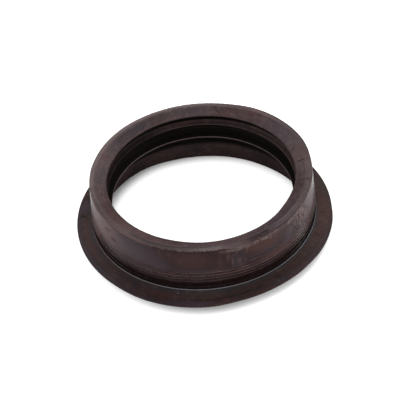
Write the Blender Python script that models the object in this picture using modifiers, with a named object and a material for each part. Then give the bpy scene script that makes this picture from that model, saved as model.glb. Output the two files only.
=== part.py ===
"""Pipe connection seal: one moulded rubber ring for a 110 mm pipe, standing on its foot, in metres, +Z up.

The ring is one turned section. Its outer side is a collar with moulding ridges, a groove for the edge of the
wall that it plugs into, a thin flange and a foot. Its bore is a funnel mouth, two sealing ribs with a recess
between them, and a flare that opens to the foot.
"""

import math

import bmesh
import bpy

PIPE_DIAMETER = 0.1100

# The bore, from the mouth down.
MOUTH_CLEARANCE = 0.0001
MOUTH_DEPTH = 0.0026
MOUTH_LIP = 0.0008
MOUTH_GROOVE_CLEARANCE = 0.0022
UPPER_RIB_DEPTH = 0.0088
UPPER_RIB_GRIP = 0.0003
UPPER_RIB_SLOPE = math.radians(13)
UPPER_RIB_THICKNESS = 0.0009
RECESS_CLEARANCE = 0.0025
RIB_SPACING = 0.0087
LOWER_RIB_GRIP = 0.0018
LOWER_RIB_SLOPE = math.radians(12)
LOWER_RIB_THICKNESS = 0.0008
FLARE_CLEARANCE = 0.0016
FLARE_START = 0.0016

# The collar, from the top down.
WALL = 0.0075
TOP_LAND = 0.0038
COLLAR_FLARE = 0.0010
PLAIN_WALL = 0.0160
RIDGE_COUNT = 4
RIDGE_PITCH = 0.0021
RIDGE_HEIGHT = 0.0003
RIDGE_WIDTH = 0.0008
BELOW_RIDGES = 0.0007

# The groove, the flange and the foot.
GROOVE_HEIGHT = 0.0050
GROOVE_DEPTH = 0.0013
FLANGE_REACH = 0.0098
FLANGE_DROP = 0.0027
FLANGE_SAG = 0.0003
RIM_THICKNESS = 0.0015
FLANGE_ROOT = 0.0050
FOOT_HEIGHT = 0.0062
FOOT_LAND = 0.0034

# Edge roundings.
OUTER_EDGE = 0.0005
MOUTH_EDGE = 0.0010
GROOVE_FILLET = 0.0009
RECESS_FILLET = 0.0010
FLANGE_FILLET = 0.0015
RIM_EDGE = 0.0007
SAG_FILLET = 0.0200

ARC_STEPS = 2
TURN_STEPS = 72
MERGE_DISTANCE = 0.00002

RUBBER_COLOUR = (0.030, 0.019, 0.017, 1.0)
RUBBER_ROUGHNESS = 0.52

pipe_radius = PIPE_DIAMETER / 2
mouth_radius = pipe_radius + MOUTH_CLEARANCE
recess_radius = pipe_radius + RECESS_CLEARANCE
collar_radius = recess_radius + WALL
ridged_band = (RIDGE_COUNT - 1) * RIDGE_PITCH + RIDGE_WIDTH + BELOW_RIDGES
collar_height = PLAIN_WALL + ridged_band
skirt_radius = collar_radius + COLLAR_FLARE
flange_top = FOOT_HEIGHT + FLANGE_ROOT
groove_top = flange_top + GROOVE_HEIGHT
total_height = groove_top + collar_height


def wall_radius(height):
    """Radius of the collar's outer wall, which opens slightly from its top to the groove."""
    return collar_radius + COLLAR_FLARE * (total_height - height) / collar_height


def collar_corners():
    """Outer wall from the top edge down past the ridges, as (radius, height, rounding)."""
    corners = [(collar_radius, total_height, OUTER_EDGE)]
    for index in range(RIDGE_COUNT):
        top = total_height - PLAIN_WALL - index * RIDGE_PITCH
        tip = top - RIDGE_WIDTH / 2
        foot = top - RIDGE_WIDTH
        corners.append((wall_radius(top), top, 0))
        corners.append((wall_radius(tip) + RIDGE_HEIGHT, tip, 0))
        corners.append((wall_radius(foot), foot, 0))
    corners.append((skirt_radius, groove_top, 0))
    return corners


def groove_corners():
    """The groove that takes the edge of the wall, above the flange."""
    floor_radius = skirt_radius - GROOVE_DEPTH
    return [
        (floor_radius, groove_top - GROOVE_DEPTH / 2, GROOVE_FILLET),
        (floor_radius, flange_top + GROOVE_DEPTH / 2, GROOVE_FILLET),
    ]


def flange_corners():
    """The thin flange, slightly dished on top, with a rounded rim."""
    rim_radius = skirt_radius + FLANGE_REACH
    rim_top = flange_top - FLANGE_DROP
    middle_radius = skirt_radius + FLANGE_REACH / 2
    middle_top = flange_top - FLANGE_DROP / 2 - FLANGE_SAG
    return [
        (skirt_radius, flange_top, 0),
        (middle_radius, middle_top, SAG_FILLET),
        (rim_radius, rim_top, RIM_EDGE),
        (rim_radius, rim_top - RIM_THICKNESS, RIM_EDGE),
        (skirt_radius, FOOT_HEIGHT, FLANGE_FILLET),
    ]


def foot_corners():
    """The foot below the flange, with the flat face that the ring stands on."""
    return [
        (skirt_radius, 0, OUTER_EDGE),
        (skirt_radius - FOOT_LAND, 0, 0),
    ]


def rib_corners(tip_radius, tip_height, thickness, below_radius, below_height, above_radius, slope):
    """One sealing rib, from its underside up over its tip to the wall above it."""
    rise = (above_radius - tip_radius) * math.tan(slope)
    return [
        (below_radius, below_height, RECESS_FILLET),
        (tip_radius + thickness / 4, tip_height - thickness, 0),
        (tip_radius, tip_height, 0),
        (above_radius, tip_height + rise, RECESS_FILLET),
    ]


def bore_corners():
    """The bore from the flare up to the mouth."""
    upper_tip = total_height - UPPER_RIB_DEPTH
    lower_tip = upper_tip - RIB_SPACING
    flare_radius = pipe_radius + FLARE_CLEARANCE
    groove_radius = pipe_radius + MOUTH_GROOVE_CLEARANCE
    mouth_edge = total_height - MOUTH_DEPTH
    lower_rib = rib_corners(
        pipe_radius - LOWER_RIB_GRIP,
        lower_tip,
        LOWER_RIB_THICKNESS,
        flare_radius,
        lower_tip - FLARE_START,
        recess_radius,
        LOWER_RIB_SLOPE,
    )
    upper_rib = rib_corners(
        pipe_radius - UPPER_RIB_GRIP,
        upper_tip,
        UPPER_RIB_THICKNESS,
        recess_radius,
        upper_tip - UPPER_RIB_THICKNESS,
        groove_radius,
        UPPER_RIB_SLOPE,
    )
    mouth = [
        (groove_radius, mouth_edge - MOUTH_LIP, 0),
        (mouth_radius, mouth_edge - MOUTH_LIP / 2, 0),
        (mouth_radius, mouth_edge, 0),
        (collar_radius - TOP_LAND, total_height, MOUTH_EDGE),
    ]
    return lower_rib + upper_rib + mouth


def rounded(corners):
    """The closed outline through the corners, each rounded by its own radius where its sides leave room."""
    outline = []
    count = len(corners)
    for index, (radius, height, rounding) in enumerate(corners):
        before = corners[index - 1]
        after = corners[(index + 1) % count]
        to_before = (before[0] - radius, before[1] - height)
        to_after = (after[0] - radius, after[1] - height)
        length_before = math.hypot(*to_before)
        length_after = math.hypot(*to_after)
        cosine = (to_before[0] * to_after[0] + to_before[1] * to_after[1]) / (length_before * length_after)
        half_angle = math.acos(max(-1.0, min(1.0, cosine))) / 2
        reach = min(rounding / math.tan(half_angle), 0.45 * length_before, 0.45 * length_after)
        if rounding == 0 or reach < MERGE_DISTANCE:
            outline.append((radius, height))
            continue
        start = (radius + to_before[0] * reach / length_before, height + to_before[1] * reach / length_before)
        end = (radius + to_after[0] * reach / length_after, height + to_after[1] * reach / length_after)
        for step in range(ARC_STEPS + 1):
            along = step / ARC_STEPS
            first = (start[0] + (radius - start[0]) * along, start[1] + (height - start[1]) * along)
            second = (radius + (end[0] - radius) * along, height + (end[1] - height) * along)
            outline.append(
                (first[0] + (second[0] - first[0]) * along, first[1] + (second[1] - first[1]) * along)
            )
    return outline


def rubber_material():
    """Dark brown satin rubber."""
    material = bpy.data.materials.new("moulded_rubber")
    material.use_nodes = True
    shader = material.node_tree.nodes["Principled BSDF"]
    shader.inputs["Base Color"].default_value = RUBBER_COLOUR
    shader.inputs["Roughness"].default_value = RUBBER_ROUGHNESS
    shader.inputs["Metallic"].default_value = 0.0
    return material


def seal_ring(collection):
    """The whole ring: its section turned once round the Z axis."""
    corners = collar_corners() + groove_corners() + flange_corners() + foot_corners() + bore_corners()
    section = bmesh.new()
    points = [section.verts.new((radius, 0, height)) for radius, height in rounded(corners)]
    for index, point in enumerate(points):
        section.edges.new((point, points[(index + 1) % len(points)]))
    mesh = bpy.data.meshes.new("seal_ring")
    section.to_mesh(mesh)
    section.free()
    ring = bpy.data.objects.new("seal_ring", mesh)
    collection.objects.link(ring)
    turn = ring.modifiers.new("turn", "SCREW")
    turn.axis = "Z"
    turn.angle = math.tau
    turn.steps = TURN_STEPS
    turn.render_steps = TURN_STEPS
    turn.use_merge_vertices = True
    turn.merge_threshold = MERGE_DISTANCE
    turn.use_smooth_shade = True
    mesh.materials.append(rubber_material())
    return ring


def main():
    for old in list(bpy.data.objects):
        bpy.data.objects.remove(old, do_unlink=True)
    collection = bpy.data.collections.new("pipe_connection_seal")
    bpy.context.scene.collection.children.link(collection)
    seal_ring(collection)


if __name__ == "__main__":
    main()
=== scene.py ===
"""The looks of a pipe connection seal: one moulded rubber ring on a plain pale floor.

The ring is a section turned once round the Z axis by a Geometry Nodes tree, with the unevenness of a used
rubber moulding: a trimmed top edge, a spread mouth and a flange that lifts and sags. Its finish is worn brown
rubber with grey bloom, smears, scuffs and nick marks, with painted shade in its recesses and groove and
painted highlights on its edges and the sides of its collar. Lengths are in metres unless a name says
otherwise.
"""

import logging
import math
from dataclasses import dataclass, field
from enum import Enum
from typing import Union

import bpy
from mathutils import Matrix, Vector


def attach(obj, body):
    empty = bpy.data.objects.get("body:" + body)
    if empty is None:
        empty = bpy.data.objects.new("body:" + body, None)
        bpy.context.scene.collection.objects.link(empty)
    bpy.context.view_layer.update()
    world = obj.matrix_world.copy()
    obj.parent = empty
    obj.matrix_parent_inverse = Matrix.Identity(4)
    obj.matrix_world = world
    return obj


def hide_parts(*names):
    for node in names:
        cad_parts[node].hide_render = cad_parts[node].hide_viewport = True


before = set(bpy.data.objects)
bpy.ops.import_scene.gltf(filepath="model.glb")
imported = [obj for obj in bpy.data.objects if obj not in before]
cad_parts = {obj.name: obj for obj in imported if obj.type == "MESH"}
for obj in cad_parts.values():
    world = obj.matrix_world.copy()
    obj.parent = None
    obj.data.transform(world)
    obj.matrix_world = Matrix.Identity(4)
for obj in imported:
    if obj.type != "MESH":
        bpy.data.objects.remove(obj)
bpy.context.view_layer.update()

LOG = logging.getLogger("pipe_connection_seal")
NODE_NAME = "seal_ring"
MM = 0.001
MM_PER_METRE = 1000.0
HALF_TURN = 180.0
NOISE_MIDDLE = 0.5

Span = tuple[float, float]
Colour = tuple[float, float, float, float]
Tones = tuple[Colour, Colour]
Weights = tuple[tuple[str, float], ...]
Feed = Union["Signal", bpy.types.NodeSocket, float, int, bool, str, tuple]


# Node trees


@dataclass(frozen=True)
class Grain:
    """How coarse a noise is, how many finer layers it has, and how strong those are."""

    scale: float
    detail: float
    roughness: float


class Tree:
    """A shader or geometry node tree while it is written."""

    def __init__(self, nodes: bpy.types.NodeTree) -> None:
        """Wraps a tree and removes the nodes it starts with."""
        self.nodes = nodes
        self.nodes.nodes.clear()

    def node(
        self, kind: str, settings: dict[str, object], inputs: dict[Union[int, str], Feed]
    ) -> bpy.types.Node:
        """Adds one node.

        Args:
            kind: The node's type name.
            settings: Properties of the node, set before its sockets.
            inputs: A value or link for each input socket, by name or place.

        Returns:
            The new node.
        """
        made = self.nodes.nodes.new(kind)
        for name, value in settings.items():
            setattr(made, name, value)
        for name, value in inputs.items():
            socket = made.inputs[name]
            if isinstance(value, Signal):
                self.nodes.links.new(value.socket, socket)
            elif isinstance(value, bpy.types.NodeSocket):
                self.nodes.links.new(value, socket)
            else:
                socket.default_value = value
        return made

    def signal(self, socket: bpy.types.NodeSocket) -> "Signal":
        """A number socket as an arithmetic value."""
        return Signal(self, socket)

    def mix(self, share: Feed, first: Feed, second: Feed) -> bpy.types.NodeSocket:
        """The first colour with this share of the second mixed in."""
        settings = {"data_type": "RGBA", "clamp_factor": True}
        return self.node("ShaderNodeMix", settings, {0: share, 6: first, 7: second}).outputs[2]

    def vector(self, operation: str, inputs: dict[Union[int, str], Feed]) -> bpy.types.NodeSocket:
        """The vector output of a Vector Math node."""
        return self.node("ShaderNodeVectorMath", {"operation": operation}, inputs).outputs[0]

    def combine(self, x: Feed, y: Feed, z: Feed) -> bpy.types.NodeSocket:
        """A vector from three numbers."""
        return self.node("ShaderNodeCombineXYZ", {}, {0: x, 1: y, 2: z}).outputs[0]

    def separate(self, vector: Feed) -> tuple["Signal", ...]:
        """The three numbers of a vector."""
        return tuple(map(self.signal, self.node("ShaderNodeSeparateXYZ", {}, {0: vector}).outputs))

    def noise(self, place: Feed, grain: Grain) -> "Signal":
        """Fractal noise about its middle, read at a vector."""
        inputs = {"Vector": place, "Scale": grain.scale, "Detail": grain.detail, "Roughness": grain.roughness}
        return self.signal(self.node("ShaderNodeTexNoise", {"noise_dimensions": "3D"}, inputs).outputs[0])


class Signal:
    """One number socket of a tree, so that node maths reads as Python arithmetic."""

    def __init__(self, tree: Tree, socket: bpy.types.NodeSocket) -> None:
        """Wraps an output socket that carries a number, with the tree that holds it."""
        self.tree = tree
        self.socket = socket

    def math(self, operation: str, *values: Feed) -> "Signal":
        """The result of a Math node on these values."""
        made = self.tree.node("ShaderNodeMath", {"operation": operation}, dict(enumerate(values)))
        return Signal(self.tree, made.outputs[0])

    def __add__(self, other: Feed) -> "Signal":
        """This value plus another."""
        return self.math("ADD", self, other)

    def __radd__(self, other: Feed) -> "Signal":
        """Another value plus this one."""
        return self.math("ADD", other, self)

    def __sub__(self, other: Feed) -> "Signal":
        """This value minus another."""
        return self.math("SUBTRACT", self, other)

    def __rsub__(self, other: Feed) -> "Signal":
        """Another value minus this one."""
        return self.math("SUBTRACT", other, self)

    def __mul__(self, other: Feed) -> "Signal":
        """This value times another."""
        return self.math("MULTIPLY", self, other)

    def __rmul__(self, other: Feed) -> "Signal":
        """Another value times this one."""
        return self.math("MULTIPLY", other, self)

    def __truediv__(self, other: Feed) -> "Signal":
        """This value over another."""
        return self.math("DIVIDE", self, other)

    def __gt__(self, other: Feed) -> "Signal":
        """1 where this value is larger, otherwise 0."""
        return self.math("GREATER_THAN", self, other)

    def most(self, other: Feed) -> "Signal":
        """The larger of this value and another."""
        return self.math("MAXIMUM", self, other)

    def hypot(self, other: "Signal") -> "Signal":
        """The length of a vector whose two parts are this value and another."""
        return self.math("SQRT", self * self + other * other)

    def ramp(self, low: float, high: float, peak: float = 1.0) -> "Signal":
        """A smooth step.

        Args:
            low: The value at which the step is 0.
            high: The value at which the step is full; it may be lower than low.
            peak: The full step.

        Returns:
            The step, from 0 to its peak.
        """
        settings = {"interpolation_type": "SMOOTHSTEP", "clamp": True}
        ends = (peak, 0.0) if low > high else (0.0, peak)
        inputs = {0: self, 1: min(low, high), 2: max(low, high), 3: ends[0], 4: ends[1]}
        return Signal(self.tree, self.tree.node("ShaderNodeMapRange", settings, inputs).outputs[0])

    def within(self, span: Span, blends: Span) -> "Signal":
        """1 inside a span, falling smoothly to 0 over a blend below it and a blend above it."""
        low, high = span
        return self.ramp(low - blends[0], low) * self.ramp(high + blends[1], high)

    def near(self, centre: float, half_angle: float, softness: float = 1.0) -> "Signal":
        """How near this angle, in radians, is to a centre.

        Args:
            centre: The centre, in degrees.
            half_angle: How far from the centre the result falls to 0, in degrees.
            softness: How much of the way to the centre the smooth step takes.

        Returns:
            1 at the centre, falling smoothly to 0.
        """
        turn = self - math.radians(centre)
        edge = math.cos(math.radians(half_angle))
        return turn.math("COSINE", turn).ramp(edge, edge + softness * (1 - edge))


# The section


@dataclass(frozen=True)
class Corner:
    """One corner of the ring's section."""

    radius: float
    height: float
    rounding: float = 0.0


@dataclass(frozen=True)
class Bore:
    """Sizes of the inner side: a funnel mouth, two sealing ribs with a recess between them, and a flare."""

    pipe_radius: float = 0.0550
    mouth_clearance: float = 0.0001
    mouth_depth: float = 0.0026
    mouth_lip: float = 0.0008
    mouth_groove_clearance: float = 0.0022
    mouth_edge: float = 0.0010
    lip_edge: float = 0.0002
    upper_depth: float = 0.0088
    upper_grip: float = 0.0003
    upper_slope: float = math.radians(13)
    upper_thickness: float = 0.0009
    recess_clearance: float = 0.0025
    recess_fillet: float = 0.0010
    rib_spacing: float = 0.0087
    lower_grip: float = 0.0018
    lower_slope: float = math.radians(12)
    lower_thickness: float = 0.0008
    rib_edge: float = 0.00015
    flare_clearance: float = 0.0016
    flare_start: float = 0.0016
    mould_lines: tuple[float, ...] = (0.0062, 0.0102)
    mould_line_width: float = 0.0007
    mould_line_height: float = 0.00018

    def rib(
        self, tip: Corner, thickness: float, below: Corner, above_radius: float, slope: float
    ) -> list[Corner]:
        """One sealing rib, from its underside up over its tip to the wall above it.

        Args:
            tip: The rib's innermost point.
            thickness: The rib's thickness at its tip.
            below: Where its underside starts.
            above_radius: The radius of the wall above it.
            slope: How steeply its upper face rises.

        Returns:
            The rib's corners.
        """
        rise = (above_radius - tip.radius) * math.tan(slope)
        return [
            below,
            Corner(tip.radius + thickness / 4, tip.height - thickness, self.rib_edge),
            Corner(tip.radius, tip.height, self.rib_edge),
            Corner(above_radius, tip.height + rise, self.recess_fillet),
        ]

    def flare_lines(self, foot: Corner, head: Corner) -> list[Corner]:
        """The fine raised mould lines on the flare, between its foot and its head."""
        corners = []
        for height in self.mould_lines:
            for step, proud in ((-0.5, 0.0), (0.0, self.mould_line_height), (0.5, 0.0)):
                level = height + step * self.mould_line_width
                share = (level - foot.height) / (head.height - foot.height)
                radius = foot.radius + (head.radius - foot.radius) * share
                corners.append(Corner(radius - proud, level))
        return corners

    def corners(
        self, total_height: float, collar_radius: float, top_land: float, foot: Corner
    ) -> list[Corner]:
        """The bore from the flare up to the mouth.

        Args:
            total_height: The height of the top face.
            collar_radius: The radius of the outer wall at the top.
            top_land: The width of the flat part of the top face.
            foot: The inner corner of the foot.

        Returns:
            The bore's corners.
        """
        upper_tip = total_height - self.upper_depth
        lower_tip = upper_tip - self.rib_spacing
        recess = self.pipe_radius + self.recess_clearance
        groove = self.pipe_radius + self.mouth_groove_clearance
        mouth = self.pipe_radius + self.mouth_clearance
        edge = total_height - self.mouth_depth
        flare = self.pipe_radius + self.flare_clearance
        head = Corner(flare, lower_tip - self.flare_start, self.recess_fillet)
        lower = Corner(self.pipe_radius - self.lower_grip, lower_tip)
        upper = Corner(self.pipe_radius - self.upper_grip, upper_tip)
        ledge = Corner(recess, upper_tip - self.upper_thickness, self.recess_fillet)
        return [
            *self.flare_lines(foot, head),
            *self.rib(lower, self.lower_thickness, head, recess, self.lower_slope),
            *self.rib(upper, self.upper_thickness, ledge, groove, self.upper_slope),
            Corner(groove, edge - self.mouth_lip),
            Corner(mouth, edge - self.mouth_lip / 2, self.lip_edge),
            Corner(mouth, edge, self.lip_edge),
            Corner(collar_radius - top_land, total_height, self.mouth_edge),
        ]


@dataclass(frozen=True)
class Outside:
    """Sizes of the outer side: a collar with moulding ridges, a groove, a thin flange and a foot."""

    wall: float = 0.0075
    top_land: float = 0.0038
    collar_flare: float = 0.0010
    plain_wall: float = 0.0160
    ridge_count: int = 4
    ridge_pitch: float = 0.0021
    ridge_height: float = 0.0003
    ridge_width: float = 0.0008
    below_ridges: float = 0.0007
    groove_height: float = 0.0050
    groove_depth: float = 0.0013
    flange_reach: float = 0.0098
    flange_drop: float = 0.0027
    flange_sag: float = 0.0003
    rim_thickness: float = 0.0015
    flange_root: float = 0.0050
    foot_height: float = 0.0062
    foot_land: float = 0.0034
    outer_edge: float = 0.0005
    small_edge: float = 0.0002
    bead_width: float = 0.0005
    bead_height: float = 0.00018
    groove_fillet: float = 0.0009
    flange_fillet: float = 0.0015
    rim_edge: float = 0.0007
    sag_fillet: float = 0.0200

    @property
    def flange_top(self) -> float:
        """Height of the flange where it meets the groove."""
        return self.foot_height + self.flange_root

    @property
    def groove_top(self) -> float:
        """Height of the groove's upper lip."""
        return self.flange_top + self.groove_height

    @property
    def collar_height(self) -> float:
        """Height of the collar above the groove."""
        ridged = (self.ridge_count - 1) * self.ridge_pitch + self.ridge_width + self.below_ridges
        return self.plain_wall + ridged

    @property
    def total_height(self) -> float:
        """Height of the whole ring."""
        return self.groove_top + self.collar_height

    def wall_radius(self, collar_radius: float, height: float) -> float:
        """Radius of the outer wall, which opens slightly from its top to the groove."""
        return collar_radius + self.collar_flare * (self.total_height - height) / self.collar_height

    def collar(self, collar_radius: float) -> list[Corner]:
        """The outer wall from the top edge down past the ridges."""
        corners = [Corner(collar_radius, self.total_height, self.outer_edge)]
        for index in range(self.ridge_count):
            top = self.total_height - self.plain_wall - index * self.ridge_pitch
            tip = top - self.ridge_width / 2
            foot = top - self.ridge_width
            corners.append(Corner(self.wall_radius(collar_radius, top), top))
            corners.append(Corner(self.wall_radius(collar_radius, tip) + self.ridge_height, tip))
            corners.append(Corner(self.wall_radius(collar_radius, foot), foot))
        return corners

    def corners(self, collar_radius: float) -> list[Corner]:
        """The outer side from the top edge down to the foot's inner corner."""
        skirt = collar_radius + self.collar_flare
        floor = skirt - self.groove_depth
        rim = skirt + self.flange_reach
        rim_top = self.flange_top - self.flange_drop
        middle_top = self.flange_top - self.flange_drop / 2 - self.flange_sag
        return [
            *self.collar(collar_radius),
            Corner(skirt, self.groove_top, self.small_edge),
            Corner(floor, self.groove_top - self.groove_depth / 2, self.groove_fillet),
            Corner(floor, self.flange_top + self.groove_depth / 2, self.groove_fillet),
            Corner(skirt, self.flange_top, self.small_edge / 2),
            Corner(skirt + self.bead_width / 2, self.flange_top + self.bead_height),
            Corner(skirt + self.bead_width, self.flange_top - self.bead_height),
            Corner(skirt + self.flange_reach / 2, middle_top, self.sag_fillet),
            Corner(rim, rim_top, self.rim_edge),
            Corner(rim, rim_top - self.rim_thickness, self.rim_edge),
            Corner(skirt, self.foot_height, self.flange_fillet),
            Corner(skirt, 0.0, self.outer_edge),
            Corner(skirt - self.foot_land, 0.0, self.small_edge),
        ]


@dataclass(frozen=True)
class Section:
    """The ring's closed section, as fine as the turned mesh needs."""

    bore: Bore = field(default_factory=Bore)
    outside: Outside = field(default_factory=Outside)
    shallowest_arc: float = 0.00005
    arc_pitch: float = 0.00035
    fewest_arc_steps: int = 2
    most_arc_steps: int = 5
    side_share: float = 0.45
    support: float = 0.0002
    longest_span: float = 0.0021

    @property
    def collar_radius(self) -> float:
        """Radius of the outer wall at the top."""
        return self.bore.pipe_radius + self.bore.recess_clearance + self.outside.wall

    def corners(self) -> list[Corner]:
        """All corners, down the outside and up the bore."""
        outer = self.outside.corners(self.collar_radius)
        inner = self.bore.corners(
            self.outside.total_height, self.collar_radius, self.outside.top_land, outer[-1]
        )
        return outer + inner

    def arc(self, before: Corner, corner: Corner, after: Corner) -> list[Vector]:
        """The points that round one corner.

        Args:
            before: The corner before it.
            corner: The corner itself.
            after: The corner after it.

        Returns:
            One point at a sharp corner, otherwise the points of its arc.
        """
        here = Vector((corner.radius, corner.height))
        back = Vector((before.radius, before.height)) - here
        ahead = Vector((after.radius, after.height)) - here
        half_angle = back.angle(ahead) / 2
        longest = self.side_share * min(back.length, ahead.length)
        reach = min(corner.rounding / math.tan(half_angle), longest)
        if reach < self.shallowest_arc:
            return [here]
        start = here + back.normalized() * reach
        end = here + ahead.normalized() * reach
        steps = round(2 * reach / self.arc_pitch)
        steps = max(self.fewest_arc_steps, min(self.most_arc_steps, steps))
        points = []
        for step in range(steps + 1):
            along = step / steps
            points.append(start.lerp(here, along).lerp(here.lerp(end, along), along))
        return points

    def side(self, start: Vector, end: Vector) -> list[Vector]:
        """The points inside a straight side: one close to each end, for flat shading, and the rest even."""
        length = (end - start).length
        if length < 4 * self.support:
            return []
        inner = (start.lerp(end, self.support / length), start.lerp(end, 1 - self.support / length))
        spans = math.ceil((length - 2 * self.support) / self.longest_span)
        between = [inner[0].lerp(inner[1], step / spans) for step in range(1, spans)]
        return [inner[0], *between, inner[1]]

    def outline(self) -> list[Vector]:
        """The closed outline, as points of (radius, height)."""
        corners = self.corners()
        count = len(corners)
        arcs = [
            self.arc(corners[index - 1], corner, corners[(index + 1) % count])
            for index, corner in enumerate(corners)
        ]
        points: list[Vector] = []
        for index, arc in enumerate(arcs):
            points.extend(arc)
            points.extend(self.side(arc[-1], arcs[(index + 1) % count][0]))
        return points


# The finish


class Face(Enum):
    """The visible faces of the ring that marks lie on."""

    WALL = "wall"
    TOP = "top"
    FLANGE = "flange"


class Kind(Enum):
    """What a mark on the rubber is. Some rose and pale marks and the blue-white glints are painted
    highlights, and one dark line is painted shade.
    """

    RUST = "rust"
    BLOOM = "bloom"
    FILM = "film"
    ROSE = "rose"
    PALE = "pale"
    FROST = "painted_glint"
    WRINKLE = "wrinkle"
    DARK = "dark"


ARCS: dict[Face, float] = {Face.WALL: 65.5, Face.TOP: 60.0, Face.FLANGE: 71.0}
SOFT_KINDS = (Kind.RUST, Kind.BLOOM, Kind.FILM, Kind.ROSE, Kind.WRINKLE)
SOFT_EDGE: Span = (1.8, -0.4)
SHARP_EDGE: Span = (1.3, 0.3)


@dataclass(frozen=True)
class Mark:
    """One patch, smear, scuff, nick or painted highlight. Its sizes are half extents in millimetres and its
    angle is in degrees.

    The level is the height on the wall, and the radius on the top and the flange. The lean shifts the mark
    sideways for each millimetre of level. The more broken it is, the more uneven its edge.
    """

    angle: float
    level: float
    across: float
    along: float
    strength: float
    broken: float = 1.0
    lean: float = 0.0


@dataclass(frozen=True)
class Crest:
    """A worn line along an edge, or a painted highlight or painted shade along one, in millimetres. It is
    kept within a half angle of an angle, in degrees.
    """

    kind: Kind
    radius: float
    height: float
    half_width: float
    strength: float
    angle: float = 0.0
    half_angle: float = HALF_TURN
    chipped: float = 0.3


@dataclass(frozen=True)
class ShadeBand:
    """A band of the bore or the groove coloured dark as painted shade, where the ribs, the top lip and the
    groove's lip shade it; in millimetres, and kept as a crest is.
    """

    radii: Span
    heights: Span
    blends: Span
    strength: float
    angle: float = 0.0
    half_angle: float = HALF_TURN


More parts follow.
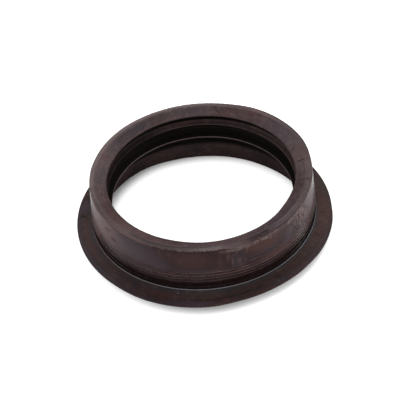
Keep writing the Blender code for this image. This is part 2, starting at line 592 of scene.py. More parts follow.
# Each face's marks of one kind, as rows of a Mark's values in their order.
MARKS: dict[tuple[Face, Kind], tuple[tuple[float, ...], ...]] = {
    (Face.WALL, Kind.RUST): (
        (-98, 32, 10, 7, 0.55),
        (-86, 28, 8, 5, 0.3),
        (-80.5, 37.2, 4.5, 1.6, 0.9),
        (-65.5, 36, 8, 3, 1),
        (-60, 33.5, 12, 4.5, 0.9),
        (-52, 23, 16, 2.5, 0.7),
        (-28, 22, 12, 3, 0.5),
        (52, 26, 13, 5, 0.5),
    ),
    (Face.WALL, Kind.BLOOM): (
        (-235, 31, 14, 7, 0.6),
        (-128, 31, 16, 8, 0.72),
        (-117, 27, 8, 4, 0.7),
        (-95, 24.5, 16, 1.3, 0.6),
        (-75.5, 31, 5, 6, 0.4, 1.6),
        (-74, 25.2, 3, 1, 0.8),
        (-63, 26.2, 10, 0.5, 0.9, 0.7),
        (-61, 28.6, 11, 0.5, 1, 0.7),
        (-43.5, 31, 3.6, 7, 0.6, 1, 0.45),
        (-31, 28, 7, 6, 0.7),
        (22, 30, 14, 6, 0.5),
    ),
    (Face.WALL, Kind.FILM): (
        (-76.6, 28.5, 1.8, 4.5, 0.6, 1.4),
    ),
    (Face.WALL, Kind.ROSE): (
        (-206, 33, 10, 5, 0.35),
        # Painted highlight: the two rows below are the pink reflection on the left of the collar.
        (-162, 31, 10, 13, 1, 0.4),
        (-152, 32, 15, 9, 0.95),
        (-140, 25.5, 12, 1.6, 0.25),
        (-84.7, 31, 0.9, 6, 0.18, 1.6),
        (-80.2, 33, 1.3, 2.6, 0.4, 1.8),
        (-78.4, 29.5, 0.6, 4.5, 0.7, 1.6),
        (-75.5, 35.6, 0.8, 2.8, 0.8, 1.6, 1.1),
        (-74.8, 28.8, 1.5, 2.4, 0.5, 1.8),
        (-71.6, 27.6, 0.7, 1.5, 0.45, 1.6, 0.2),
        (-70.4, 35.4, 0.9, 2.4, 0.75, 1.6, 0.4),
        (-52, 37.5, 12, 1.6, 0.5, 1.5),
        (-43.5, 33, 2.6, 4, 0.45, 1.6, 0.3),
        (-41, 33, 6, 4, 0.5, 1.2),
        # Pink scuffs between the wrinkles, with painted highlight over them.
        (-33, 34, 9, 6, 1, 1.2),
        (-24, 29, 5, 8, 0.4),
        # Painted highlight: the pink reflection on the right of the collar.
        (-18, 32, 7, 10, 0.85, 0.8),
    ),
    (Face.WALL, Kind.PALE): (
        (-72.5, 23.3, 4, 0.45, 0.75, 0.8),
        (-71, 37, 11, 1, 0.5, 2.6),
        (-58, 38.6, 10, 0.9, 0.4, 2.4),
        (-56.5, 36, 1.2, 0.9, 0.45),
        (-37, 37.8, 9, 1.6, 0.5, 2.4),
        (-35, 31, 4, 4, 0.3, 1.6, -0.6),
        (-30.5, 35, 2, 2.6, 0.45, 1.4, -0.6),
    ),
    (Face.WALL, Kind.WRINKLE): (
        (-134, 24.5, 5, 3.5, 0.5),
        (-34, 33.5, 13, 7.5, 1),
    ),
    (Face.WALL, Kind.DARK): (
        (-148.3, 34.3, 2.8, 0.55, 1, 0.2),
        (-143.6, 30.2, 2.6, 0.55, 1, 0.2),
        (-94, 38.6, 14, 0.6, 0.5),
        (-56, 35, 0.4, 0.5, 0.8, 0.3),
        (-36.8, 36, 0.35, 2.3, 0.8, 0.3, -0.7),
        (-34.3, 29, 0.35, 2.3, 1, 0.3, -0.9),
        (-31.3, 31, 0.35, 2.5, 1, 0.3, -0.9),
        (36, 31, 2.5, 0.35, 0.7, 0.3, -0.4),
    ),
    (Face.TOP, Kind.RUST): (
        (-150, 60, 12, 5, 0.35),
        (10, 59.5, 10, 4.5, 0.6),
        (56, 61, 9, 1.6, 0.5),
        (70, 58.8, 6, 3, 0.5),
        (112, 59.5, 8, 2.6, 0.5),
        (158, 59.5, 3, 2.6, 0.9),
    ),
    (Face.TOP, Kind.BLOOM): (
        (-78, 61.3, 5, 1.5, 0.9),
        (-50, 60, 20, 4, 0.7),
        (33, 59, 14, 4, 0.8),
        (92, 58.5, 14, 3, 0.5),
        (130, 58.2, 9, 2.6, 1),
        (145, 59, 3, 2.2, 0.9),
        (176, 59.5, 10, 3, 0.3, 1.6),
    ),
    (Face.TOP, Kind.FILM): (
        (-92, 62.8, 10, 1.6, 0.5, 2.2),
        (-82, 63.2, 12, 1.2, 0.4, 1.8),
        (122, 59, 40, 3, 0.65, 0.5),
        (172, 60, 8, 3, 0.3, 1.6),
    ),
    (Face.TOP, Kind.ROSE): (
        (-135, 59, 24, 3, 0.25),
        (-84, 59, 20, 2.6, 0.3, 1.2),
        (162, 61.5, 16, 2.4, 0.3, 1.4),
    ),
    (Face.TOP, Kind.PALE): (
        (-101.5, 59.4, 0.4, 1.4, 0.7, 0.2),
        (-84, 63.6, 20, 1.2, 0.4, 2.6),
        (8, 59.5, 22, 4, 0.06, 0.6),
        (90, 59.5, 75, 4.5, 0.05, 0.3),
    ),
    (Face.TOP, Kind.DARK): (
        (-110, 62.2, 26, 0.35, 0.7, 0.4),
        (-110, 63.6, 14, 1.3, 0.4, 1.6),
        (-63, 63.2, 8, 1.2, 0.5, 1.6),
        (-60, 62.4, 12, 0.35, 0.6, 0.4),
        (-12.5, 60, 0.6, 4, 0.45),
        (-8.8, 57.7, 0.6, 0.4, 0.8, 0.3),
        (4.2, 59.2, 0.35, 2.6, 1, 0.3),
        (15.5, 57.4, 0.4, 1.8, 0.9, 0.3, 0.5),
        (27, 58.6, 2.6, 0.25, 0.6, 0.3),
        (30, 62.4, 24, 0.3, 0.45, 0.4),
        (69, 60, 0.3, 1.6, 0.5, 0.4, 0.9),
        (76.5, 58.6, 0.35, 2.8, 0.9, 0.4, 0.9),
        (122, 58.5, 0.35, 2.6, 0.75, 0.4, -1.6),
        (125, 59.5, 0.35, 2.2, 0.65, 0.4, 1.4),
        (142.5, 58.8, 0.9, 1.6, 0.35, 0.6),
    ),
    (Face.FLANGE, Kind.RUST): (
        (-236, 71, 18, 2.5, 0.5),
        (-162, 70.8, 26, 2, 0.6),
        (-113, 70.8, 12, 1.8, 0.45),
        (-12, 71.5, 16, 3.5, 0.6),
    ),
    (Face.FLANGE, Kind.BLOOM): (
        (-191, 71, 6, 4, 1),
        (-145, 74.6, 40, 1.1, 0.7),
        (-136, 71.5, 10, 1.5, 0.5),
        (-100, 74.2, 14, 1.6, 0.9),
        (-40, 74.6, 30, 1, 0.6),
        (42, 73, 15, 2, 0.6),
    ),
    (Face.FLANGE, Kind.FILM): (
        (-172, 68, 16, 1.3, 0.6),
        (-85, 67.4, 60, 2, 0.75, 0.5),
        (-58, 73.5, 9, 1.2, 0.5),
        (-30, 66.6, 30, 1.3, 0.8, 0.5),
        (14, 72.5, 10, 2.5, 0.5),
        (62, 68, 18, 1.5, 0.5),
    ),
    (Face.FLANGE, Kind.PALE): (
        (-106, 68.6, 0.35, 0.4, 0.9, 0.2),
    ),
    (Face.FLANGE, Kind.DARK): (
        (-185.3, 72.4, 2, 0.4, 0.9, 0.8, 0.4),
        (-183.8, 71.3, 0.4, 2.2, 1, 0.8, -0.2),
        (-176, 72.8, 0.3, 1.8, 0.6, 0.3, 0.8),
        (-150, 73, 5, 0.3, 0.4, 0.5),
        (-85, 72, 26, 0.8, 0.25),
        (-24, 70, 0.35, 2, 0.5, 0.2),
        (-8.5, 70.6, 0.35, 1.8, 0.9, 0.2),
    ),
}

CRESTS: tuple[Crest, ...] = (
    # Painted highlights along the tips of the two ribs and of the four ridges, where the edges catch the
    # light.
    Crest(Kind.PALE, 53.25, 22.2, 0.50, 1.00),
    Crest(Kind.PALE, 54.75, 31.0, 0.35, 0.35),
    Crest(Kind.PALE, 66.05, 23.6, 0.30, 0.55, -92, 70, 0.15),
    Crest(Kind.PALE, 66.15, 21.5, 0.34, 1.00, -86, 72, 0.15),
    Crest(Kind.PALE, 66.25, 19.4, 0.30, 0.75, -78, 72, 0.15),
    Crest(Kind.PALE, 66.30, 17.3, 0.28, 0.35, -72, 72, 0.15),
    # Painted highlight along the flange's inner bead, in blue-white and pale.
    Crest(Kind.FROST, 66.40, 11.15, 0.28, 0.75, -62, 66, 0.1),
    Crest(Kind.PALE, 66.40, 11.15, 0.28, 1.00, -122, 56, 0.1),
    Crest(Kind.FROST, 66.40, 11.15, 0.22, 0.60, -120, 30, 0.1),
    # Painted highlight along the top edge at the front left, in pink.
    Crest(Kind.ROSE, 64.80, 39.85, 0.40, 1.00, -145, 30, 0.3),
    Crest(Kind.PALE, 64.90, 39.90, 0.35, 0.45, 118, 60, 0.5),
    Crest(Kind.PALE, 62.50, 40.00, 0.25, 0.45, 135, 80, 0.6),
    Crest(Kind.PALE, 63.20, 40.00, 0.75, 0.75, 132, 66, 0.4),
    Crest(Kind.PALE, 64.40, 40.00, 1.00, 0.70, 132, 66, 0.4),
    Crest(Kind.ROSE, 64.20, 40.00, 1.10, 0.70, 88, 62, 0.3),
    Crest(Kind.PALE, 64.95, 39.9, 0.50, 1.00, -90, 28, 1.0),
    Crest(Kind.PALE, 65.00, 38.0, 0.80, 1.00, -70, 20, 1.0),
    Crest(Kind.ROSE, 59.95, 9.2, 0.45, 0.50),
    Crest(Kind.PALE, 57.50, 26.6, 0.30, 0.10, 60, 45),
    # Painted shade over the upper rib's upper face, under the top lip.
    Crest(Kind.DARK, 56.00, 31.6, 2.60, 0.80, 172, 70, 0.0),
)

# Painted shade: the recess between the ribs, the band under the lower rib, the undercut under the top lip and
# the groove above the flange, coloured dark where they lie in shade.
SHADE_BANDS: tuple[ShadeBand, ...] = (
    ShadeBand((53.7, 58.0), (22.4, 30.7), (0.3, 0.3), 0.93),
    ShadeBand((52.8, 60.2), (15.2, 22.05), (3.5, 0.3), 1.0),
    ShadeBand((55.0, 57.8), (33.6, 37.1), (0.9, 0.3), 1.0),
    ShadeBand((64.0, 66.05), (10.9, 13.4), (0.25, 2.6), 0.72),
    ShadeBand((65.4, 66.9), (15.0, 16.2), (0.3, 6.0), 0.48, -78, 72),
)


@dataclass(frozen=True)
class Spot:
    """A point of the surface in the material. Its lengths are in millimetres and its angles in radians."""

    place: bpy.types.NodeSocket
    x: Signal
    y: Signal
    height: Signal
    radius: Signal
    angle: Signal
    front_angle: Signal


@dataclass(frozen=True)
class Noises:
    """The noises that vary the finish."""

    clouds: Signal
    mottle: Signal
    grain: Signal
    streaks: Signal
    lines: Signal

    def blend(self, weights: Weights) -> Signal:
        """The sum of the named noises, each times its weight."""
        return sum(getattr(self, name) * weight for name, weight in weights)


@dataclass(frozen=True)
class Cover:
    """What lies on a point of the surface. Every value is a share from 0 to 1."""

    faces: dict[Face, Signal]
    shares: dict[Kind, Signal]
    painted_shade: Signal
    inside: Signal
    nicks_and_shade: Signal


@dataclass(frozen=True)
class WornRubber:
    """Brown moulded rubber: its colours, its gloss, its grain and how its marks lie. Some of its colour is
    painted shade in its hollows and painted highlight on its edges and sides.

    Each face's tones are its darkest and its lightest colour. The grains' scales are per metre, apart from
    the wrinkles, whose own scales are per millimetre. The spans where faces start and end are in millimetres.
    """

    wall: Tones = ((0.0210, 0.0072, 0.0094, 1.0), (0.0335, 0.0100, 0.0106, 1.0))
    top: Tones = ((0.056, 0.0345, 0.0375, 1.0), (0.094, 0.0590, 0.0590, 1.0))
    flange: Tones = ((0.033, 0.0225, 0.0258, 1.0), (0.050, 0.0268, 0.0240, 1.0))
    bore: Tones = ((0.042, 0.0300, 0.0300, 1.0), (0.070, 0.0425, 0.0425, 1.0))
    rust: Colour = (0.072, 0.0300, 0.0245, 1.0)
    bloom: Colour = (0.061, 0.0435, 0.0580, 1.0)
    film: Colour = (0.037, 0.0370, 0.0400, 1.0)
    rose: Colour = (0.178, 0.1040, 0.1110, 1.0)
    pale: Colour = (0.240, 0.1800, 0.1750, 1.0)
    painted_glint: Colour = (0.215, 0.2450, 0.2750, 1.0)
    # The darkest colour: dark specks and nick marks, and the painted shade in the bore and the groove.
    black_and_shade: Colour = (0.0055, 0.0048, 0.0043, 1.0)
    least_bloom: float = 0.3
    least_rose: float = 0.35
    film_strength: float = 0.85
    pale_strength: float = 0.8
    painted_glint_strength: float = 0.9
    nick_and_shade_strength: float = 0.9
    specular: float = 0.10
    roughness: float = 0.26
    mottle_roughness: float = 0.20
    streak_roughness: float = 0.15
    nick_and_shade_roughness: float = 0.15
    bore_roughness: float = 0.30
    dull_roughness: float = 0.85
    dull_specular: float = 0.02
    rose_dullness: float = 0.6
    flange_dullness: float = 0.5
    shade_band_dullness: float = 0.7
    clouds: Grain = Grain(45.0, 3.0, 0.55)
    mottle: Grain = Grain(260.0, 4.0, 0.6)
    grain: Grain = Grain(1300.0, 3.0, 0.6)
    streaks: Grain = Grain(520.0, 4.0, 0.6)
    lines: Grain = Grain(1500.0, 4.0, 0.6)
    streak_stretch: float = 0.07
    line_stretch: float = 0.025
    wrinkles: Grain = Grain(1.0, 3.0, 0.7)
    wrinkle_scales: tuple[float, float, float] = (0.32, 0.12, 0.0)
    wrinkle_span: Span = (0.045, 0.012)
    tone_mix: Weights = (("clouds", 0.55), ("streaks", 0.5), ("mottle", 0.3), ("lines", 0.3))
    tone_span: Span = (0.67, 0.97)
    speck_mix: Weights = (("grain", 0.6), ("mottle", 0.6))
    pale_lines: tuple[float, float, float] = (0.58, 0.78, 0.19)
    pale_specks: tuple[float, float, float] = (0.60, 0.84, 0.15)
    dark_specks: tuple[float, float, float] = (0.58, 0.38, 0.18)
    relief_mix: Weights = (("grain", 0.25), ("mottle", 0.6), ("streaks", 0.6), ("lines", 0.2))
    worn_and_glint_relief: float = 0.4
    nick_and_shade_relief: float = 1.6
    relief_depth: float = 0.00012
    relief_strength: float = 0.6
    edge_mottle: float = 2.6
    edge_grain: float = 1.6
    unchipped: Span = (0.47, 0.60)
    crest_core: float = 0.4
    end_softness: float = 0.6
    shade_band_blends: Span = (0.3, 0.2)
    top_start: Span = (37.0, 37.3)
    top_end: Span = (64.95, 64.85)
    wall_start: Span = (64.85, 64.95)
    wall_end: Span = (67.0, 66.6)
    wall_foot: Span = (16.0, 16.6)
    flange_start: Span = (66.0, 66.3)
    bore_end: Span = (64.6, 64.3)
    bore_top: Span = (38.0, 37.0)

    def spot(self, tree: Tree) -> Spot:
        """The point of the surface that the material is worked out at."""
        place = tree.node("ShaderNodeTexCoord", {}, {}).outputs["Object"]
        x, y, height = (part * MM_PER_METRE for part in tree.separate(place))
        front_angle = x.math("ARCTAN2", x, y * -1.0) - math.pi / 2
        return Spot(place, x, y, height, x.hypot(y), y.math("ARCTAN2", y, x), front_angle)

    def noises(self, tree: Tree, spot: Spot) -> Noises:
        """The noises at a point: three even ones, and two drawn out round the ring."""
        even = [tree.noise(spot.place, grain) for grain in (self.clouds, self.mottle, self.grain)]
        drawn_out = []
        for grain, stretch in ((self.streaks, self.streak_stretch), (self.lines, self.line_stretch)):
            along = MM * stretch
            flat = tree.combine(spot.x * along, spot.y * along, (spot.height + spot.radius) * MM)
            drawn_out.append(tree.noise(flat, grain))
        return Noises(*even, *drawn_out)

    def patch(
        self, tree: Tree, mark: Mark, arc: float, fade: Span, flat: bpy.types.NodeSocket, edge: Signal
    ) -> Signal:
        """How much of one mark shows at a point.

        Args:
            tree: The material's tree.
            mark: The mark.
            arc: The radius at which the mark's face is laid flat, in millimetres.
            fade: Where the mark's edge starts to show and where it is full.
            flat: The point on the face laid flat: along the arc from angle 0 and across it, in millimetres.
            edge: Noise that makes the mark's edge uneven.

        Returns:
            The mark's share, from 0 to 1.
        """
        if mark.lean:
            level = tree.vector("MULTIPLY", {0: flat, 1: (0.0, 1.0, 0.0)})
            turned = {0: level, "Angle": math.pi / 2}
            shift = tree.node("ShaderNodeVectorRotate", {"rotation_type": "Z_AXIS"}, turned).outputs[0]
            flat = tree.vector("MULTIPLY_ADD", {0: shift, 1: (mark.lean, 0.0, 0.0), 2: flat})
        centre = math.radians(mark.angle) * arc - mark.level * mark.lean
        scales = (1 / mark.across, 1 / mark.along, 0.0)
        shifts = (-centre / mark.across, -mark.level / mark.along, 0.0)
        inside = tree.vector("MULTIPLY_ADD", {0: flat, 1: scales, 2: shifts})
        square = tree.node("ShaderNodeVectorMath", {"operation": "DOT_PRODUCT"}, {0: inside, 1: inside})
        spread = edge.math("MULTIPLY_ADD", edge, mark.broken, tree.signal(square.outputs["Value"]))
        return spread.ramp(*fade, mark.strength)

    def kept(self, share: Signal, angle: Signal, piece: Union[Crest, ShadeBand]) -> Signal:
        """The share of a crest or a band of painted shade that runs all round, or its share near the angle it
        is kept to.
        """
        if piece.half_angle >= HALF_TURN:
            return share
        return share * angle.near(piece.angle, piece.half_angle, self.end_softness)

    def crest(self, crest: Crest, spot: Spot, whole: Signal) -> Signal:
        """How worn an edge is at a point, or how strong a painted highlight or painted shade along it is.

        Args:
            crest: The worn or painted line.
            spot: The point.
            whole: Where the line isn't chipped, from 0 to 1.

        Returns:
            The line's share, from 0 to 1.
        """
        distance = (spot.radius - crest.radius).hypot(spot.height - crest.height)
        share = distance.ramp(crest.half_width, crest.half_width * self.crest_core, crest.strength)
        return self.kept(share * (whole * crest.chipped + (1.0 - crest.chipped)), spot.angle, crest)

    def shade_band(self, shade_band: ShadeBand, spot: Spot) -> Signal:
        """How strong a band's painted shade is at a point, from 0 to 1."""
        share = spot.height.within(shade_band.heights, shade_band.blends)
        share = share * spot.radius.within(shade_band.radii, self.shade_band_blends)
        return self.kept(share * shade_band.strength, spot.angle, shade_band)

    def cover(self, tree: Tree, spot: Spot, noises: Noises) -> Cover:
        """What lies on a point.

        Args:
            tree: The material's tree.
            spot: The point.
            noises: The noises there.

        Returns:
            The faces, marks, bands of painted shade, bore, and nick marks with painted shade, that the point
            lies in.
        """
        faces = {
            Face.TOP: spot.height.ramp(*self.top_start) * spot.radius.ramp(*self.top_end),
            Face.WALL: spot.radius.ramp(*self.wall_start)
            * spot.height.ramp(*self.wall_foot)
            * spot.radius.ramp(*self.wall_end),
            Face.FLANGE: spot.radius.ramp(*self.flange_start),
        }
        flat = {
            Face.TOP: tree.combine(spot.angle * ARCS[Face.TOP], spot.radius, 0.0),
            Face.WALL: tree.combine(spot.front_angle * ARCS[Face.WALL], spot.height, 0.0),
            Face.FLANGE: tree.combine(spot.front_angle * ARCS[Face.FLANGE], spot.radius, 0.0),
        }
        edge = (noises.mottle - NOISE_MIDDLE) * self.edge_mottle
        edge = edge + (noises.grain - NOISE_MIDDLE) * self.edge_grain
        nothing = noises.mottle * 0.0
        shares = dict.fromkeys(Kind, nothing)
        for (face, kind), rows in MARKS.items():
            fade = SOFT_EDGE if kind in SOFT_KINDS else SHARP_EDGE
            for row in rows:
                patch = self.patch(tree, Mark(*row), ARCS[face], fade, flat[face], edge)
                shares[kind] = (patch * faces[face]).most(shares[kind])
        whole = noises.grain.ramp(*self.unchipped)
        for crest in CRESTS:
            shares[crest.kind] = shares[crest.kind].most(self.crest(crest, spot, whole))
        slant = tree.vector("MULTIPLY", {0: flat[Face.WALL], 1: self.wrinkle_scales})
        fold = tree.noise(slant, self.wrinkles) - NOISE_MIDDLE
        folds = fold.math("ABSOLUTE", fold).ramp(*self.wrinkle_span) * shares[Kind.WRINKLE]
        painted_shade = nothing
        for shade_band in SHADE_BANDS:
            painted_shade = painted_shade.most(self.shade_band(shade_band, spot))
        inside = spot.radius.ramp(*self.bore_end) * spot.height.ramp(*self.bore_top)
        return Cover(faces, shares, painted_shade, inside, shares[Kind.DARK].most(folds))

    def colour(self, tree: Tree, noises: Noises, cover: Cover) -> bpy.types.NodeSocket:
        """The rubber's colour: each face's tones, and over them the marks, painted shade and painted
        highlights from the softest to the sharpest.

        Args:
            tree: The material's tree.
            noises: The noises at the point.
            cover: What lies on it.

        Returns:
            The colour's socket.
        """
        tone = noises.blend(self.tone_mix).ramp(*self.tone_span)
        colour = tree.mix(tone, *self.wall)
        grounds = (
            (cover.faces[Face.TOP], self.top),
            (cover.faces[Face.FLANGE], self.flange),
            (cover.inside, self.bore),
        )
        for share, tones in grounds:
            colour = tree.mix(share, colour, tree.mix(tone, *tones))
        specks = noises.blend(self.speck_mix)
        layers = (
            (cover.shares[Kind.RUST], self.rust),
            (cover.shares[Kind.BLOOM] * (noises.clouds + self.least_bloom), self.bloom),
            (cover.shares[Kind.FILM] * self.film_strength, self.film),
            # Rose patches and smears, and the painted pink highlights on the collar's sides.
            (cover.shares[Kind.ROSE] * (noises.lines + self.least_rose), self.rose),
            (noises.lines.ramp(*self.pale_lines), self.pale),
            (specks.ramp(*self.pale_specks), self.pale),
            (specks.ramp(*self.dark_specks), self.black_and_shade),
            # Painted shade in the recesses, under the lower rib and in the groove.
            (cover.painted_shade, self.black_and_shade),
            # Pale scuffs and worn edges, and painted highlights along the rib tips, the ridges and the
            # flange's bead.
            (cover.shares[Kind.PALE] * self.pale_strength, self.pale),
            # Painted highlight along the flange's inner bead.
            (cover.shares[Kind.FROST] * self.painted_glint_strength, self.painted_glint),
            # Nick marks and wrinkles, and the painted shade over the upper rib.
            (cover.nicks_and_shade * self.nick_and_shade_strength, self.black_and_shade),
        )
        for share, tint in layers:
            colour = tree.mix(share, colour, tint)
        return colour

    def normal(self, tree: Tree, noises: Noises, cover: Cover) -> bpy.types.NodeSocket:
        """The normal with the fine relief of the grain, the worn spots and painted highlights, and the nick
        marks and painted shade.
        """
        # The worn spots and the painted highlights along edges are raised.
        worn = cover.shares[Kind.PALE].most(cover.shares[Kind.FROST])
        relief = noises.blend(self.relief_mix) + worn * self.worn_and_glint_relief - cover.nicks_and_shade * self.nick_and_shade_relief
        inputs = {"Strength": self.relief_strength, "Distance": self.relief_depth, "Height": relief}
        return tree.node("ShaderNodeBump", {}, inputs).outputs[0]

    def material(self) -> bpy.types.Material:
        """Writes the material: a satin surface, mixed with a matte one where the rubber is dull.

        Returns:
            The material, to be set on the ring.
        """
        made = bpy.data.materials.new("worn_brown_rubber")
        made.use_nodes = True
        tree = Tree(made.node_tree)
        spot = self.spot(tree)
        noises = self.noises(tree, spot)
        cover = self.cover(tree, spot, noises)
        roughness = self.roughness + (noises.mottle - NOISE_MIDDLE) * self.mottle_roughness
        roughness = roughness + (noises.streaks - NOISE_MIDDLE) * self.streak_roughness
        roughness = roughness + cover.inside * self.bore_roughness + cover.nicks_and_shade * self.nick_and_shade_roughness
        colour = self.colour(tree, noises, cover)
        normal = self.normal(tree, noises, cover)
        surfaces = []
        for rough, specular in ((roughness, self.specular), (self.dull_roughness, self.dull_specular)):
            inputs = {"Base Color": colour, "Roughness": rough, "Specular IOR Level": specular}
            inputs["Normal"] = normal
            surfaces.append(tree.node("ShaderNodeBsdfPrincipled", {}, inputs).outputs[0])
        # On the rose marks the matte surface takes over part of the way, so that the painted highlights on
        # the collar's sides show as pink colour instead of a grey reflection.
        dull = cover.inside.most(cover.shares[Kind.ROSE] * self.rose_dullness)
        dull = dull.most(cover.faces[Face.FLANGE] * self.flange_dullness)
        # The bands of painted shade are matte as well.
        dull = dull.most(cover.painted_shade * self.shade_band_dullness)
        shader = tree.node("ShaderNodeMixShader", {}, {0: dull, 1: surfaces[0], 2: surfaces[1]})
        tree.node("ShaderNodeOutputMaterial", {}, {0: shader.outputs[0]})
        return made


# The ring


@dataclass(frozen=True)
class Zone:
    """A band of the section: its radii, its heights, and how far each blends out past its ends."""

    radii: Span
    heights: Span
    radii_blend: float
    heights_blend: float

    def share(self, radius: Signal, height: Signal) -> Signal:
        """How much a point lies in the band, from 0 to 1."""
        across = radius.within(self.radii, (self.radii_blend, self.radii_blend))
        return across * height.within(self.heights, (self.heights_blend, self.heights_blend))


@dataclass(frozen=True)
class Swell:
    """A smooth local change of the ring: strongest at one angle and gone at its half angle, in degrees."""

    name: str
    angle: float
    half_angle: float
    zone: Zone
    outward: float
    lift: float


MOUTH = Zone((0.050, 0.0600), (0.0345, 0.0400), 0.0012, 0.0012)
TOP_OUTSIDE = Zone((0.0610, 0.070), (0.0340, 0.0400), 0.0060, 0.0060)
TRIMMED_EDGE = Zone((0.0625, 0.070), (0.0380, 0.0400), 0.0010, 0.0010)
WORN_EDGE = Zone((0.0642, 0.070), (0.0385, 0.0400), 0.0018, 0.0075)
RIM = Zone((0.0715, 0.080), (0.0040, 0.0110), 0.0050, 0.0050)
FOOT = Zone((0.0500, 0.0640), (0.0, 0.0090), 0.0090, 0.0090)

SWELLS: tuple[Swell, ...] = (
    Swell("Mouth Spread", -72.0, 40.0, MOUTH, 0.0007, 0.0),
    Swell("Mouth Closing", -100.0, 80.0, MOUTH, -0.0005, 0.0),
    Swell("Mouth Pinch", -30.0, 14.0, MOUTH, -0.0003, 0.0),
    Swell("Back Trim", 95.0, 40.0, TRIMMED_EDGE, -0.0005, 0.0),
    Swell("Back Spread", 38.0, 36.0, TOP_OUTSIDE, 0.0010, 0.0),
    Swell("Rim Sag", -108.0, 30.0, RIM, 0.0, -0.0009),
    Swell("Rim Lift", -67.0, 22.0, RIM, 0.0, 0.0004),
    Swell("Rim Reach", -22.0, 20.0, RIM, 0.0007, 0.0),
    Swell("Foot Bulge", 72.0, 46.0, FOOT, -0.0017, 0.0),
    Swell("Foot Spread", 143.0, 36.0, FOOT, 0.0014, 0.0),
    Swell("Edge Wear", -69.0, 16.0, WORN_EDGE, 0.0, -0.0020),
)


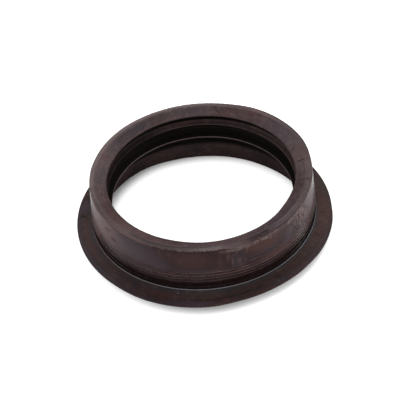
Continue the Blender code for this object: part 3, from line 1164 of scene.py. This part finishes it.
@dataclass
class SealRing:
    """The rubber ring: its section, how finely it is turned, and how unevenly it was moulded and trimmed."""

    section: Section = field(default_factory=Section)
    finish: WornRubber = field(default_factory=WornRubber)
    turn_steps: int = 440
    guide_radius: float = 0.060
    seed: float = 7.0
    waves: Grain = Grain(1.0, 2.0, 0.5)
    wave_depth: float = 0.00012
    wave_scale: float = 70.0
    wave_end: Span = (0.0756, 0.0740)
    flash: Grain = Grain(1.0, 2.0, 0.6)
    flash_depth: float = 0.00045
    flash_scale: float = 900.0
    flash_middle: float = 0.45
    flash_heights: Span = (0.0385, 0.0396)
    flash_radii: Span = (0.0640, 0.0646)
    flash_least: float = 0.2
    flash_arcs: tuple[Span, Span] = ((-82.0, 42.0), (98.0, 40.0))
    flash_softness: float = 0.5
    lift_start: Span = (0.0005, 0.0050)
    sharp_angle: float = math.radians(34)

    def section_object(self) -> bpy.types.Object:
        """The section as a closed loop of edges, centred on the guide circle."""
        outline = self.section.outline()
        points = [(point.x - self.guide_radius, -point.y, 0.0) for point in outline]
        edges = [(index, (index + 1) % len(points)) for index in range(len(points))]
        mesh = bpy.data.meshes.new("seal_ring_section")
        mesh.from_pydata(points, edges, [])
        made = bpy.data.objects.new("seal_ring_section", mesh)
        bpy.context.scene.collection.objects.link(made)
        LOG.info("section of %d points, about %d triangles", len(points), 2 * len(points) * self.turn_steps)
        return made

    def sizes(self) -> dict[str, float]:
        """The tree's named number inputs and their values."""
        found = {
            "Guide Radius": self.guide_radius,
            "Turn Steps": self.turn_steps,
            "Sharp Angle": self.sharp_angle,
            "Seed": self.seed,
            "Wave Depth": self.wave_depth,
            "Wave Scale": self.wave_scale,
            "Flash Depth": self.flash_depth,
            "Flash Scale": self.flash_scale,
        }
        for swell in SWELLS:
            found[f"{swell.name} Outward"] = swell.outward
            found[f"{swell.name} Lift"] = swell.lift
        return found

    def group(self) -> bpy.types.NodeTree:
        """A node group with its inputs and its output, and no nodes yet."""
        made = bpy.data.node_groups.new("turned_rubber_ring", "GeometryNodeTree")
        made.interface.new_socket("Section", in_out="INPUT", socket_type="NodeSocketGeometry")
        for name in self.sizes():
            kind = "NodeSocketInt" if name == "Turn Steps" else "NodeSocketFloat"
            made.interface.new_socket(name, in_out="INPUT", socket_type=kind)
        made.interface.new_socket("Rubber", in_out="INPUT", socket_type="NodeSocketMaterial")
        made.interface.new_socket("Ring", in_out="OUTPUT", socket_type="NodeSocketGeometry")
        return made

    def turn(self, group: bpy.types.NodeTree) -> None:
        """Writes the nodes that turn the section, make it uneven, set its shading and dress it.

        Args:
            group: The node group.
        """
        tree = Tree(group)
        given = tree.node("NodeGroupInput", {}, {}).outputs
        profile = tree.node("GeometryNodeMeshToCurve", {}, {"Mesh": given["Section"]}).outputs[0]
        circle = {"Resolution": given["Turn Steps"], "Radius": given["Guide Radius"]}
        guide = tree.node("GeometryNodeCurvePrimitiveCircle", {"mode": "RADIUS"}, circle).outputs["Curve"]
        curves = {"Curve": guide, "Profile Curve": profile}
        turned = tree.node("GeometryNodeCurveToMesh", {}, curves).outputs[0]
        moved = {"Geometry": turned, "Offset": self.offset(tree, given)}
        uneven = tree.node("GeometryNodeSetPosition", {}, moved).outputs[0]
        smooth = tree.node("GeometryNodeSetShadeSmooth", {"domain": "FACE"}, {0: uneven, 2: True}).outputs[0]
        bend = tree.signal(tree.node("GeometryNodeInputMeshEdgeAngle", {}, {}).outputs[0])
        sharp = {0: smooth, 1: bend > tree.signal(given["Sharp Angle"]), 2: False}
        crisp = tree.node("GeometryNodeSetShadeSmooth", {"domain": "EDGE"}, sharp).outputs[0]
        solid = tree.node("GeometryNodeRealizeInstances", {}, {0: crisp}).outputs[0]
        dressed = tree.node("GeometryNodeSetMaterial", {}, {0: solid, "Material": given["Rubber"]}).outputs[0]
        tree.node("NodeGroupOutput", {}, {0: dressed})

    def offset(self, tree: Tree, given: bpy.types.NodeOutputs) -> bpy.types.NodeSocket:
        """The move of each point of the turned ring: swells, slow waves and the flash on its trimmed edge.

        Args:
            tree: The geometry tree.
            given: The group input's sockets.

        Returns:
            The offset vector's socket.
        """
        sizes = {name: tree.signal(given[name]) for name in self.sizes()}
        place = tree.node("GeometryNodeInputPosition", {}, {}).outputs[0]
        x, y, height = tree.separate(place)
        radius = x.hypot(y)
        angle = y.math("ARCTAN2", y, x)
        outward = x * 0.0
        lift = x * 0.0
        for swell in SWELLS:
            share = angle.near(swell.angle, swell.half_angle) * swell.zone.share(radius, height)
            outward = outward + share * sizes[f"{swell.name} Outward"]
            lift = lift + share * sizes[f"{swell.name} Lift"]
        seeded = tree.vector("ADD", {0: place, 1: tree.combine(given["Seed"], 0.0, 0.0)})
        waves = tree.noise(tree.vector("SCALE", {0: seeded, "Scale": given["Wave Scale"]}), self.waves)
        waves = (waves - NOISE_MIDDLE) / NOISE_MIDDLE
        outward = outward + waves * sizes["Wave Depth"] * radius.ramp(*self.wave_end)
        flash = tree.noise(tree.vector("SCALE", {0: seeded, "Scale": given["Flash Scale"]}), self.flash)
        on_edge = height.ramp(*self.flash_heights) * radius.ramp(*self.flash_radii)
        front, back = (angle.near(*arc, self.flash_softness) for arc in self.flash_arcs)
        ragged = front.most(back) * (1.0 - self.flash_least) + self.flash_least
        flash = (flash - self.flash_middle) / NOISE_MIDDLE
        outward = outward + flash * sizes["Flash Depth"] * on_edge * ragged
        return tree.combine(x / radius * outward, y / radius * outward, lift * height.ramp(*self.lift_start))

    def build(self) -> bpy.types.Object:
        """The finished ring: the turned section as a plain mesh, dressed and registered."""
        source = self.section_object()
        modifier = source.modifiers.new("turned ring", "NODES")
        group = self.group()
        self.turn(group)
        modifier.node_group = group
        values: dict[str, object] = {**self.sizes(), "Rubber": self.finish.material()}
        for item in group.interface.items_tree:
            if item.in_out == "INPUT" and item.name in values:
                modifier[item.identifier] = values[item.name]
        graph = bpy.context.evaluated_depsgraph_get()
        mesh = bpy.data.meshes.new_from_object(source.evaluated_get(graph), depsgraph=graph)
        source.modifiers.remove(modifier)
        bpy.data.objects.remove(source, do_unlink=True)
        mesh.name = "rubber_ring"
        ring = bpy.data.objects.new("rubber_ring", mesh)
        bpy.context.scene.collection.objects.link(ring)
        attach(ring, "root")
        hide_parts(NODE_NAME)
        return ring


# The studio


@dataclass(frozen=True)
class Lamp:
    """One soft oblong lamp, aimed at the ring."""

    name: str
    place: tuple[float, float, float]
    width: float
    depth: float
    watts: float


@dataclass
class Studio:
    """The floor, the light and the camera."""

    floor_half: float = 3.0
    floor_white: Colour = (0.60, 0.60, 0.60, 1.0)
    floor_glow: float = 0.95
    contact_reach: float = 0.0096
    contact_samples: int = 8
    contact_span: Span = (0.12, 0.86)
    contact_lean: tuple[float, float, float] = (-0.44, 0.06, 0.90)
    world_strength: float = 0.15
    aim: tuple[float, float, float] = (0.0, 0.0, 0.02)
    lamps: tuple[Lamp, ...] = (
        Lamp("back_strip", (0.0, 0.90, 1.00), 2.0, 0.7, 11.0),
        Lamp("top_box", (0.0, 0.0, 1.50), 0.8, 0.8, 2.0),
        Lamp("right_box", (1.20, 0.10, 0.45), 0.30, 0.40, 7.3),
        Lamp("left_box", (-1.20, 0.10, 0.45), 0.6, 0.5, 4.3),
        Lamp("front_fill", (0.0, -1.25, 0.60), 0.9, 0.6, 7.0),
    )
    lens: float = 144.0
    sensor: float = 36.0
    distance: float = 0.92898
    target_height: float = 0.040
    elevation: float = math.radians(42.37)
    roll: float = math.radians(5.30)
    shift_right: float = 0.00029
    shift_up: float = 0.01563

    def floor(self) -> bpy.types.Object:
        """The plain white floor, which keeps the ring's shadow."""
        half = self.floor_half
        corners = [(-half, -half, 0.0), (half, -half, 0.0), (half, half, 0.0), (-half, half, 0.0)]
        mesh = bpy.data.meshes.new("floor")
        mesh.from_pydata(corners, [], [(0, 1, 2, 3)])
        made = bpy.data.objects.new("floor", mesh)
        bpy.context.scene.collection.objects.link(made)
        material = bpy.data.materials.new("white_floor")
        material.use_nodes = True
        tree = Tree(material.node_tree)
        path = tree.node("ShaderNodeLightPath", {}, {}).outputs
        seen = tree.signal(path["Is Camera Ray"]).most(path["Is Transmission Ray"])
        seen = seen.most(path["Is Glossy Ray"])
        contact = {"Distance": self.contact_reach, "Normal": tree.combine(*self.contact_lean)}
        near = tree.node("ShaderNodeAmbientOcclusion", {"samples": self.contact_samples}, contact)
        open_air = tree.signal(near.outputs["AO"]).ramp(*self.contact_span)
        white = tree.node("ShaderNodeBsdfDiffuse", {}, {"Color": self.floor_white})
        glow = tree.node("ShaderNodeEmission", {}, {"Strength": seen * open_air * self.floor_glow})
        both = tree.node("ShaderNodeAddShader", {}, {0: white.outputs[0], 1: glow.outputs[0]})
        tree.node("ShaderNodeOutputMaterial", {}, {0: both.outputs[0]})
        mesh.materials.append(material)
        return made

    def world(self) -> None:
        """A dim even surround, seen as plain white by the camera."""
        made = bpy.data.worlds.new("studio")
        made.use_nodes = True
        tree = Tree(made.node_tree)
        path = tree.node("ShaderNodeLightPath", {}, {}).outputs
        seen = tree.signal(path["Is Camera Ray"]).most(path["Is Transmission Ray"])
        strength = seen * (1.0 - self.world_strength) + self.world_strength
        light = tree.node("ShaderNodeBackground", {}, {"Color": (1.0, 1.0, 1.0, 1.0), "Strength": strength})
        tree.node("ShaderNodeOutputWorld", {}, {0: light.outputs[0]})
        bpy.context.scene.world = made

    def light(self) -> None:
        """The soft lamps round the ring."""
        for lamp in self.lamps:
            data = bpy.data.lights.new(lamp.name, "AREA")
            data.shape = "RECTANGLE"
            data.size = lamp.width
            data.size_y = lamp.depth
            data.energy = lamp.watts
            made = bpy.data.objects.new(lamp.name, data)
            place = Vector(lamp.place)
            turn = (Vector(self.aim) - place).to_track_quat("-Z", "Y")
            made.matrix_world = Matrix.Translation(place) @ turn.to_matrix().to_4x4()
            bpy.context.scene.collection.objects.link(made)

    def camera(self) -> None:
        """The camera, in front of the ring and above it, turned slightly about its own axis."""
        back = Vector((0.0, -math.cos(self.elevation), math.sin(self.elevation)))
        level = Vector((1.0, 0.0, 0.0))
        upright = back.cross(level)
        right = math.cos(self.roll) * level - math.sin(self.roll) * upright
        up = math.sin(self.roll) * level + math.cos(self.roll) * upright
        target = Vector((0.0, 0.0, self.target_height))
        place = target + self.distance * back - self.shift_right * right - self.shift_up * up
        data = bpy.data.cameras.new("camera")
        data.sensor_width = self.sensor
        data.lens = self.lens
        made = bpy.data.objects.new("camera", data)
        made.matrix_world = Matrix.Translation(place) @ Matrix((right, up, back)).transposed().to_4x4()
        bpy.context.scene.collection.objects.link(made)
        bpy.context.scene.camera = made

    def build(self) -> None:
        """Makes the floor, the light and the camera."""
        self.floor()
        self.world()
        self.light()
        self.camera()
        bpy.context.scene.view_settings.view_transform = "Standard"


def main() -> None:
    """Builds the studio and the ring, and logs the size of the ring's section."""
    logging.basicConfig(level=logging.INFO, format="%(name)s: %(message)s")
    Studio().build()
    ring = SealRing().build()


if __name__ == "__main__":
    main()
